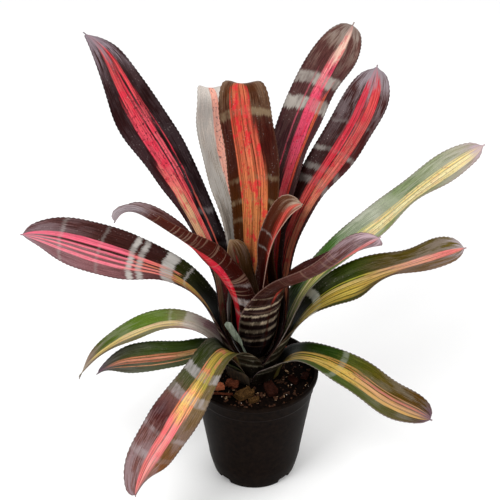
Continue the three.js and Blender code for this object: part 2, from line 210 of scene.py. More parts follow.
def finish_piece(piece, name, *materials, node=None, slot=None, angle=None):
    """Names a piece, gives it its materials and smooth shading, and ties it to the plant."""
    piece.name = name
    piece.data.name = name
    deselect()
    piece.select_set(True)
    bpy.context.view_layer.objects.active = piece
    bpy.ops.object.transform_apply(location=True, rotation=True, scale=True)
    if angle is None:
        bpy.ops.object.shade_smooth()
    else:
        bpy.ops.object.shade_smooth_by_angle(angle=math.radians(angle))
    for material in materials:
        piece.data.materials.append(material)
    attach(piece, "root")
    if node:
        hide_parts(node)
    piece.select_set(False)
    return piece


def grow_leaf(name, leaf, layer, face, back, slot, columns=14):
    """A blade: a flat grid bent along its rib and across its channel, then given its thickness."""
    rows = 2 * round(leaf["length"] / ROW_SPACING / 2)
    bpy.ops.mesh.primitive_grid_add(x_subdivisions=columns, y_subdivisions=rows, size=2, calc_uvs=True)
    piece = bpy.context.object
    piece.data.uv_layers[0].name = "blade"
    frames = leaf_rib(leaf, layer)
    for vertex in piece.data.vertices:
        u = vertex.co.x
        s = (vertex.co.y + 1) / 2
        row = round(s * rows)
        toothed = abs(u) > 0.999 and row % 2 == 1 and row < rows - 3 and leaf["length"] > 100
        vertex.co = leaf_point(leaf, frames, s, u, TOOTH_DEPTH if toothed else 0) * MM
    piece.data.flip_normals()
    piece.data.materials.append(face)
    piece.data.materials.append(back)
    apply_modifier(piece, "SOLIDIFY", thickness=BLADE_THICKNESS * MM, offset=0, use_even_offset=False,
                   material_offset=1, material_offset_rim=0)
    return finish_piece(piece, name + "_blade", node=name, slot=slot)


def drawn_up(name, outline, sides):
    """A turned shape: a ring of points, extruded and resized from step to step of the outline."""
    deselect()
    radius, height = outline[0]
    bpy.ops.mesh.primitive_circle_add(vertices=sides, radius=radius * MM, location=(0, 0, height * MM))
    piece = bpy.context.object
    piece.name = name
    bpy.ops.object.transform_apply(location=True, rotation=False, scale=False)
    bpy.ops.object.mode_set(mode="EDIT")
    bpy.ops.mesh.select_all(action="SELECT")
    for (r0, z0), (r1, z1) in zip(outline, outline[1:]):
        bpy.ops.mesh.extrude_region_move(TRANSFORM_OT_translate={"value": (0, 0, (z1 - z0) * MM)})
        bpy.ops.transform.resize(value=(r1 / r0, r1 / r0, 1), center_override=(0, 0, z1 * MM))
    bpy.ops.object.mode_set(mode="OBJECT")
    return piece


def close_and_face_out(piece, fill=False):
    """Merges doubles, closes open ends and turns the faces outward."""
    deselect()
    piece.select_set(True)
    bpy.context.view_layer.objects.active = piece
    bpy.ops.object.mode_set(mode="EDIT")
    bpy.ops.mesh.select_all(action="SELECT")
    bpy.ops.mesh.remove_doubles(threshold=0.00001)
    if fill:
        bpy.ops.mesh.select_all(action="DESELECT")
        bpy.ops.mesh.select_non_manifold()
        bpy.ops.mesh.edge_face_add()
        bpy.ops.mesh.select_all(action="SELECT")
    bpy.ops.mesh.normals_make_consistent(inside=False)
    bpy.ops.object.mode_set(mode="OBJECT")


def cut(piece, tool):
    """Takes the tool's shape out of the piece and removes the tool."""
    apply_modifier(piece, "BOOLEAN", operation="DIFFERENCE", object=tool, solver="EXACT")
    bpy.data.objects.remove(tool)


FEET = 4
NOTCH = (9, 18, 14)
NOTCH_REACH = 52
DRAIN_RADIUS = 4
DRAIN_REACH = 44


def make_pot(material):
    """The pot: its whole section drawn up at once, then notches and drains cut between its feet."""
    outline = [
        (0.02, 0), (37.2, 0), (38, 0.8), (38, 8.2), (38.8, 9), (48.6, 9), (49.4, 8.2), (49.2, 0.5),
        (49.7, 0), (50.6, 0), (51.1, 0.4), (52.2, 2.5), (54.2, 10), (56.5, 20), (57.7, 26), (58.3, 32),
        (63.6, 69), (69.2, 107), (71, 119), (72.1, 126.5), (72.5, 128), (73.1, 128.6), (73.3, 129.4),
        (74.3, 143.4), (74.7, 144.4), (75.4, 144.8), (77.2, 145.1), (77.8, 145.7), (78, 146.6),
        (78, 149.4), (77.7, 150.5), (76.9, 151), (74.9, 151), (74.1, 150.6), (73.6, 149.6), (72.9, 144.4),
        (71.6, 129.5), (70.7, 128), (67.7, 107), (56.5, 29), (54.9, 20), (52.8, 11), (52.3, 10.5),
        (36.9, 10.5), (36.5, 10.1), (36.5, 1.9), (36.1, 1.5), (0.02, 1.5)]
    pot = drawn_up("nursery_pot", outline, 160)
    close_and_face_out(pot, fill=True)
    for i in range(FEET):
        turn = math.radians(45 + 360 / FEET * i)
        deselect()
        bpy.ops.mesh.primitive_cube_add(size=1, location=(0, 0, 0))
        notch = bpy.context.object
        notch.data.transform(Matrix.Diagonal((*(side * MM for side in NOTCH), 1)))
        apply_modifier(notch, "BEVEL", width=2.5 * MM, segments=4)
        notch.data.transform(Matrix.Rotation(turn, 4, "Z") @ Matrix.Translation((NOTCH_REACH * MM, 0, 0)))
        cut(pot, notch)
        bpy.ops.mesh.primitive_cylinder_add(vertices=32, radius=DRAIN_RADIUS * MM, depth=6 * MM,
                                            location=(0, 0, 0))
        drain = bpy.context.object
        place = Matrix.Rotation(turn, 4, "Z") @ Matrix.Translation((DRAIN_REACH * MM, 0, 9 * MM))
        drain.data.transform(place)
        cut(pot, drain)
    return finish_piece(pot, "nursery_pot", material, node="pot", slot="pot_plastic", angle=35)


MIX_TOP = 137
MIX_REACH = 70
FULL_TURN = 6.283


def mix_height(x, y):
    """Height of the mix at a place in plan: raked mounds, then lumps and grains."""
    mound = math.sin(x / 9 + 1) * math.cos(y / 8) + 0.5 * math.sin((x + y) / 5.5)
    lumps = 0.9 * noise.noise(Vector((x / 6, y / 6, 3))) + 0.7 * noise.noise(Vector((x / 2.2, y / 2.2, 7)))
    return MIX_TOP + mound + lumps


def make_mix(material):
    """The mix: its sides drawn up inside the pot, its top a fine disc pressed into lumps."""
    side = [(36, 1.9), (36.1, 10.9), (52.6, 10.9), (54.5, 20), (56.1, 29), (67.3, 107), (70.3, 128),
            (71.2, 131), (71.5, 135.4)]
    rings = [71.6 - 1.6 * i for i in range(44)]
    mix = drawn_up("potting_mix_heap", side + [(r, MIX_TOP) for r in rings], 150)
    close_and_face_out(mix, fill=True)
    for vertex in mix.data.vertices:
        x, y, z = vertex.co / MM
        if z > MIX_TOP - 0.3:
            vertex.co.z = mix_height(x, y) * MM
    return finish_piece(mix, "potting_mix_heap", material, node="potting_mix", slot="potting_mix")


def scattered(count, seed):
    """The same well mixed values from 0 to 1 each run."""
    return [[(math.sin(seed * 12.9898 + i * 78.233 + k * 37.719) * 43758.5453) % 1 for k in range(6)]
            for i in range(count)]


def make_crumbs(name, count, seed, sizes, material, keep_out=34.5, flat=0.6, long=1.0):
    """Crumbs on the mix: one rough grain, copied, turned and joined."""
    grains = []
    for a, b, c, d, e, f in scattered(count, seed):
        reach = MIX_REACH * math.sqrt(a)
        x, y = reach * math.cos(b * FULL_TURN), reach * math.sin(b * FULL_TURN)
        if math.hypot(x, y - CROWN_BACK) < keep_out:
            continue
        size = sizes[0] + (sizes[1] - sizes[0]) * c ** 2.5
        deselect()
        bpy.ops.mesh.primitive_ico_sphere_add(subdivisions=1, radius=1)
        grain = bpy.context.object
        for vertex in grain.data.vertices:
            vertex.co *= 0.75 + 0.5 * noise.noise(vertex.co * 1.7 + Vector((d * 20, e * 20, f * 20)))
        turn = Euler((0.5 * d, 0.5 * e, FULL_TURN * f)).to_matrix().to_4x4()
        shape = Matrix.Diagonal((size * long * MM, size * 0.75 * MM, size * flat * MM, 1))
        rest = (mix_height(x, y) + size * flat * 0.35) * MM
        grain.data.transform(Matrix.Translation((x * MM, y * MM, rest)) @ turn @ shape)
        grains.append(grain)
    deselect()
    for grain in grains:
        grain.select_set(True)
    bpy.context.view_layer.objects.active = grains[0]
    bpy.ops.object.join()
    return finish_piece(bpy.context.object, name, material, slot="potting_mix", angle=50)


CHIP_REST = MIX_TOP + 2.2
CHIPS = [
    dict(at=(-43, -23), size=(14, 12, 5), turn=15, slope=4, bark="orange"),
    dict(at=(-27, -18), size=(17, 14, 5), turn=-40, slope=-5, bark="red_brown"),
    dict(at=(-12.5, -39), size=(27, 14, 7), turn=38, slope=3, bark="olive"),
    dict(at=(-0.5, -47.5), size=(14, 8, 5), turn=32, slope=0, bark="olive"),
    dict(at=(19.5, -29), size=(24, 15, 6), turn=-62, slope=6, bark="dark_red"),
    dict(at=(-38, -36), size=(27, 2.6, 2.4), turn=-4, slope=1, bark="red_brown"),
    dict(at=(62, -3), size=(13, 9, 4), turn=70, slope=5, bark="dark_red"),
    dict(at=(47.5, -10), size=(17, 9, 4.5), turn=-50, slope=-3, bark="dark_red"),
    dict(at=(39, 50), size=(12, 7, 4), turn=25, slope=2, bark="orange"),
]


def make_chip(index, chip, material):
    """A split piece of bark: a cube cut fine, worn round, and grooved along its grain."""
    deselect()
    bpy.ops.mesh.primitive_cube_add(size=1)
    piece = bpy.context.object
    bpy.ops.object.mode_set(mode="EDIT")
    bpy.ops.mesh.select_all(action="SELECT")
    bpy.ops.mesh.subdivide(number_cuts=15)
    bpy.ops.object.mode_set(mode="OBJECT")
    length, width, thickness = chip["size"]
    for vertex in piece.data.vertices:
        x, y, z = vertex.co
        corner = 1 - 0.14 * (2 * abs(x)) ** 3 * (2 * abs(y)) ** 2
        edge = 1 + 0.24 * noise.noise(Vector((x * 2.6, y * 2.6, index * 4.1)))
        x, y, z = x * corner * edge * 0.94, y * corner * edge * 0.92, z + 0.5
        grain = noise.noise(Vector((x * 1.5, y * 9 + 0.6 * x, z * 2 + index * 3)))
        split = abs(noise.noise(Vector((x * 2.5, y * 5, index * 7.7))))
        lift = z * (0.8 + 0.7 * grain - 1.6 * max(0, 0.16 - split))
        crown = 1 - 0.25 * (2 * y) ** 2 * z
        vertex.co = Vector((x * length, y * width, thickness * lift * crown)) * MM
    slope = math.radians(chip["slope"])
    rise = length / 2 * math.sin(abs(slope))
    turn = Matrix.Rotation(math.radians(chip["turn"]), 4, "Z") @ Matrix.Rotation(slope, 4, "Y")
    x, y = chip["at"]
    piece.data.transform(Matrix.Translation((x * MM, y * MM, (CHIP_REST + rise) * MM)) @ turn)
    name = "bark_chip_%d" % (index + 1)
    return finish_piece(piece, name + "_bark", material, node=name, slot="bark", angle=40)


# Materials

BAND_EDGE = 0.0035
STRIPE_EDGE = 0.008


def linear(hex_colour):
    """An sRGB hex colour as linear red, green, blue and 1."""
    parts = [int(hex_colour[i:i + 2], 16) / 255 for i in (0, 2, 4)]
    return (*(c / 12.92 if c <= 0.04045 else ((c + 0.055) / 1.055) ** 2.4 for c in parts), 1)


def node(tree, kind, inputs=None, stops=None, **settings):
    """Adds a shader node, sets it, fills or links its inputs, and gives a colour ramp its stops.
    A node given as an input stands for its first output, and a hex colour for its linear one."""
    made = tree.nodes.new("ShaderNode" + kind)
    for key, value in settings.items():
        setattr(made, key, value)
    for key, value in (inputs or {}).items():
        if isinstance(value, bpy.types.Node):
            value = value.outputs[0]
        if isinstance(value, bpy.types.NodeSocket):
            tree.links.new(value, made.inputs[key])
        else:
            made.inputs[key].default_value = linear(value) if isinstance(value, str) else value
    if stops:
        ramp = made.color_ramp
        while len(ramp.elements) < len(stops):
            ramp.elements.new(1)
        for element, (place, colour) in zip(ramp.elements, sorted(stops, key=lambda stop: stop[0])):
            element.position = place
            element.color = linear(colour) if isinstance(colour, str) else colour
    return made


def new_material(name, roughness, ior=1.45, specular=0.5):
    material = bpy.data.materials.new(name)
    material.use_nodes = True
    shader = material.node_tree.nodes["Principled BSDF"]
    shader.inputs["Roughness"].default_value = roughness
    shader.inputs["IOR"].default_value = ior
    shader.inputs["Specular IOR Level"].default_value = specular
    return material, material.node_tree, shader


def grey(value):
    return (value, value, value, 1)


def bands_as_stops(bands):
    """Soft-edged bands (from, to, strength) as stops of one ramp."""
    stops = [(0, grey(0)), (1, grey(0))]
    for low, high, strength in sorted(bands):
        edge = min(BAND_EDGE, (high - low) / 3)
        stops += [(low - edge, grey(0)), (low + edge, grey(strength)),
                  (high - edge, grey(strength)), (high + edge, grey(0))]
    return stops


def lines_as_stops(lines):
    """Lengthwise stripes (from, to, colour) across the blade as stops of one ramp, clear between them."""
    stops = []
    for low, high, colour in sorted(lines):
        edge = min(STRIPE_EDGE, (high - low) / 3)
        clear, full = (*linear(colour)[:3], 0), (*linear(colour)[:3], 1)
        stops += [(low - edge, clear), (low + edge, full), (high - edge, full), (high + edge, clear)]
    return stops


def blade_noise(tree, blade, turn, steps, detail=3.0):
    """Noise on the blade's own map, with so many steps across and along it. Each turn gives another."""
    seed = blade.seed + turn
    spot = node(tree, "CombineXYZ", {0: blade.across, 1: blade.along})
    place = node(tree, "VectorMath", {0: spot, 1: (*steps, 0), 2: (seed, seed * 3, 0)},
                 operation="MULTIPLY_ADD")
    return node(tree, "TexNoise", {"Vector": place, "Scale": 1.0, "Detail": detail, "Roughness": 0.6},
                noise_dimensions="2D").outputs["Fac"]


def blade_fields(tree, seed, length):
    """Where a point lies on the blade, and the noises that its looks are drawn from."""
    place = node(tree, "SeparateXYZ", {0: node(tree, "UVMap", uv_map="blade")})
    blade = SimpleNamespace(across=place.outputs[0], along=place.outputs[1], seed=seed, length=length)
    # Fibres about 1 mm apart and some centimetres long; finer lines that hardly end; a broad drift.
    blade.fibres = blade_noise(tree, blade, 0, (55, length / 30))
    blade.lines = blade_noise(tree, blade, 2, (34, length / 170), detail=1.0)
    blade.drift = blade_noise(tree, blade, 4, (5, length / 40), detail=4.0)
    both = node(tree, "Math", {0: blade.fibres, 1: blade.drift})
    blade.wander = node(tree, "Math", {0: both, 1: -1.0})
    blade.stage = node(tree, "Math", {0: blade.wander, 1: 0.16, 2: blade.along}, operation="MULTIPLY_ADD")
    # 0 at the rib, a quarter at the margins.
    off_rib = node(tree, "Math", {0: blade.across, 1: -0.5})
    blade.bow = node(tree, "Math", {0: off_rib, 1: 2.0}, operation="POWER")
    return blade


def ground_colour(tree, blade, look):
    """The ground from base to tip, one course for each half of the blade, with fibres and speckles."""
    along = node(tree, "Math", {0: blade.wander, 1: 0.12, 2: blade.along}, operation="MULTIPLY_ADD")
    ground = node(tree, "ValToRGB", {0: along}, stops=look["ground"])
    if "ground_low" in look:
        low_half = node(tree, "ValToRGB", {0: along}, stops=look["ground_low"])
        half = node(tree, "MapRange", {0: blade.across, 1: 0.47, 2: 0.53})
        ground = node(tree, "MixRGB", {0: half, 1: low_half, 2: ground})
    shade = node(tree, "MapRange", {0: blade.fibres, 1: 0.3, 2: 0.7, 3: 0.62, 4: 1.2})
    ground = node(tree, "MixRGB", {0: 1.0, 1: ground, 2: shade}, blend_type="MULTIPLY")
    speckle = blade_noise(tree, blade, 6, (40, blade.length / 1.6), detail=2.0)
    speckle = node(tree, "MapRange", {0: speckle, 1: 0.35, 2: 0.65, 3: 0.86, 4: 1.14})
    return node(tree, "MixRGB", {0: 1.0, 1: ground, 2: speckle}, blend_type="MULTIPLY")


def stripe_lines(tree, blade, look):
    """Colour and mask of the stripes, each stage of them taking over from the last along the blade."""
    across = node(tree, "Math", {0: blade.wander, 1: look.get("wander", 0.05), 2: blade.across},
                  operation="MULTIPLY_ADD")
    stripe = mask = None
    for start, fade, lines in look["stages"]:
        ramp = node(tree, "ValToRGB", {0: across}, stops=lines_as_stops(lines))
        if stripe is None:
            stripe, mask = ramp.outputs[0], ramp.outputs[1]
            continue
        reached = node(tree, "MapRange", {0: blade.stage, 1: start, 2: start + fade})
        stripe = node(tree, "MixRGB", {0: reached, 1: stripe, 2: ramp})
        mask = node(tree, "MixRGB", {0: reached, 1: mask, 2: ramp.outputs[1]})
    return stripe, mask


def marked_stripe(tree, blade, look, stripe):
    """Dark hair lines, uneven fibres, red blotches and dark dashes in the stripes."""
    hair = node(tree, "MapRange", {0: blade.lines, 1: 0.4, 2: 0.5, 3: 1 - look.get("hair", 0.4), 4: 1.0})
    stripe = node(tree, "MixRGB", {0: 1.0, 1: stripe, 2: hair}, blend_type="MULTIPLY")
    uneven = node(tree, "MapRange", {0: blade.fibres, 1: 0.3, 2: 0.7, 3: 0.72, 4: 1.16})
    stripe = node(tree, "MixRGB", {0: 1.0, 1: stripe, 2: uneven}, blend_type="MULTIPLY")
    blotch_colour, blotches = look.get("blotches", ("c02038", 0.5))
    blotch = blade_noise(tree, blade, 8, (7, blade.length / 16), detail=4.0)
    blotch = node(tree, "MapRange", {0: blotch, 1: 0.52, 2: 0.62, 4: blotches})
    stripe = node(tree, "MixRGB", {0: blotch, 1: stripe, 2: blotch_colour})
    dash = blade_noise(tree, blade, 10, (24, blade.length / 4), detail=2.0)
    dash = node(tree, "MapRange", {0: dash, 1: 0.6, 2: 0.68, 4: look.get("dashes", 0.3)})
    low, high = look.get("dashed", (0, 1))
    begun = node(tree, "MapRange", {0: blade.along, 1: low, 2: low + 0.06})
    going_on = node(tree, "MapRange", {0: blade.along, 1: high, 2: high + 0.06, 3: 1.0, 4: 0.0})
    dash = node(tree, "Math", {0: dash, 1: begun}, operation="MULTIPLY")
    dash = node(tree, "Math", {0: dash, 1: going_on}, operation="MULTIPLY")
    return node(tree, "MixRGB", {0: dash, 1: stripe, 2: look.get("dash_colour", "3a0c12")})


def band_strength(tree, blade, look, mask):
    """Silver bands: scales gathered across the blade, ragged along the fibres, weaker over the stripes."""
    along = node(tree, "Math", {0: blade.wander, 1: look.get("ragged", 0.022), 2: blade.along},
                 operation="MULTIPLY_ADD")
    along = node(tree, "Math", {0: blade.bow, 1: look.get("bow", 0.06), 2: along}, operation="MULTIPLY_ADD")
    band = node(tree, "ValToRGB", {0: along}, stops=bands_as_stops(look.get("bands", [])))
    gaps = look.get("band_gaps", 0.35)
    patchy = node(tree, "MapRange", {0: blade.drift, 1: 0.38, 2: 0.55, 3: gaps, 4: 1.0})
    band = node(tree, "Math", {0: band, 1: patchy}, operation="MULTIPLY")
    spare = node(tree, "MapRange", {0: mask, 3: 1.0, 4: look.get("band_on_stripe", 0.3)})
    return node(tree, "Math", {0: band, 1: spare}, operation="MULTIPLY")


def bloom_strength(tree, blade, look, mask):
    """Bloom of fine scales in streaks, thicker toward the tip and thin over the stripes."""
    start, low, high = look.get("bloom", (0.6, 0.05, 0.35))
    thicker = node(tree, "MapRange", {0: blade.along, 1: start, 2: 1.0, 3: low, 4: high})
    streaks = node(tree, "Math", {0: blade.fibres, 1: 0.5}, operation="MULTIPLY")
    streaks = node(tree, "Math", {0: streaks, 1: blade.drift})
    streaks = node(tree, "MapRange", {0: streaks, 1: 0.66, 2: 0.84})
    bloom = node(tree, "Math", {0: streaks, 1: thicker}, operation="MULTIPLY")
    off_stripe = node(tree, "MapRange", {0: mask, 3: 1.0, 4: 0.25})
    return node(tree, "Math", {0: bloom, 1: off_stripe}, operation="MULTIPLY")


def fleck_strength(tree, blade):
    """Scales and dust gathered here and there in fine flecks."""
    flecks = blade_noise(tree, blade, 14, (26, blade.length / 2.2), detail=2.0)
    flecks = node(tree, "MapRange", {0: flecks, 1: 0.66, 2: 0.76, 4: 0.5})
    gathered = node(tree, "MapRange", {0: blade.drift, 1: 0.5, 2: 0.64})
    return node(tree, "Math", {0: flecks, 1: gathered}, operation="MULTIPLY")


def blade_material(name, look, length, seed):
    """Waxy bromeliad leaf: it gives the eye a satin sheen over deep colour. The stripes run from base to
    tip and spread with the width, fine fibres follow them, and silver bands of scales cross them."""
    material, tree, shader = new_material(name, 0.45, ior=1.2, specular=0.18)
    blade = blade_fields(tree, seed, length)
    stripe, mask = stripe_lines(tree, blade, look)
    stripe = marked_stripe(tree, blade, look, stripe)
    colour = node(tree, "MixRGB", {0: mask, 1: ground_colour(tree, blade, look), 2: stripe})
    layers = [(band_strength(tree, blade, look, mask), look.get("band_colour", "a8a29c"))]
    if "cross_lines" in look:
        # Fine lines straight across, as the outer side of a sheath has them.
        cross = blade_noise(tree, blade, 12, (0.7, length / 3.5), detail=1.0)
        cross = node(tree, "MapRange", {0: cross, 1: 0.6, 2: 0.7, 4: look["cross_lines"]})
        layers.append((cross, "9a7c68"))
    for strength, over in layers:
        colour = node(tree, "MixRGB", {0: strength, 1: colour, 2: over})

    # Painted shade: the tank is darkened toward its foot, where the inside of the crown lies in shadow.
    foot_shade = node(tree, "MapRange", {0: blade.along, 1: 0.08, 2: 0.36, 3: 0.35, 4: 1.0})
    colour = node(tree, "MixRGB", {0: 1.0, 1: colour, 2: foot_shade}, blend_type="MULTIPLY")

    # Bloom and flecks, then the dry tip and a thin margin.
    tip_from, tip_full, tip_colour = look.get("tip", (0.94, 0.7, "8a7478"))
    tip = node(tree, "MapRange", {0: blade.stage, 1: tip_from, 2: tip_from + 0.05, 4: tip_full})
    rim_full, rim_colour = look.get("rim", (0.5, "2a1414"))
    rim = node(tree, "MapRange", {0: blade.bow, 1: 0.222, 2: 0.246, 4: rim_full})
    for strength, over in [(bloom_strength(tree, blade, look, mask), look.get("bloom_colour", "a09494")),
                           (fleck_strength(tree, blade), "a89c98"), (tip, tip_colour), (rim, rim_colour)]:
        colour = node(tree, "MixRGB", {0: strength, 1: colour, 2: over})
    tree.links.new(colour.outputs[0], shader.inputs["Base Color"])

    # Fibres stand a little proud, and bloom dulls the wax.
    bump = node(tree, "Bump", {"Strength": 0.35, "Distance": 0.0005, "Height": blade.fibres})
    tree.links.new(bump.outputs[0], shader.inputs["Normal"])
    rough = node(tree, "MapRange", {0: blade.drift, 1: 0.3, 2: 0.7, 3: 0.34, 4: 0.55})
    tree.links.new(rough.outputs[0], shader.inputs["Roughness"])
    return material


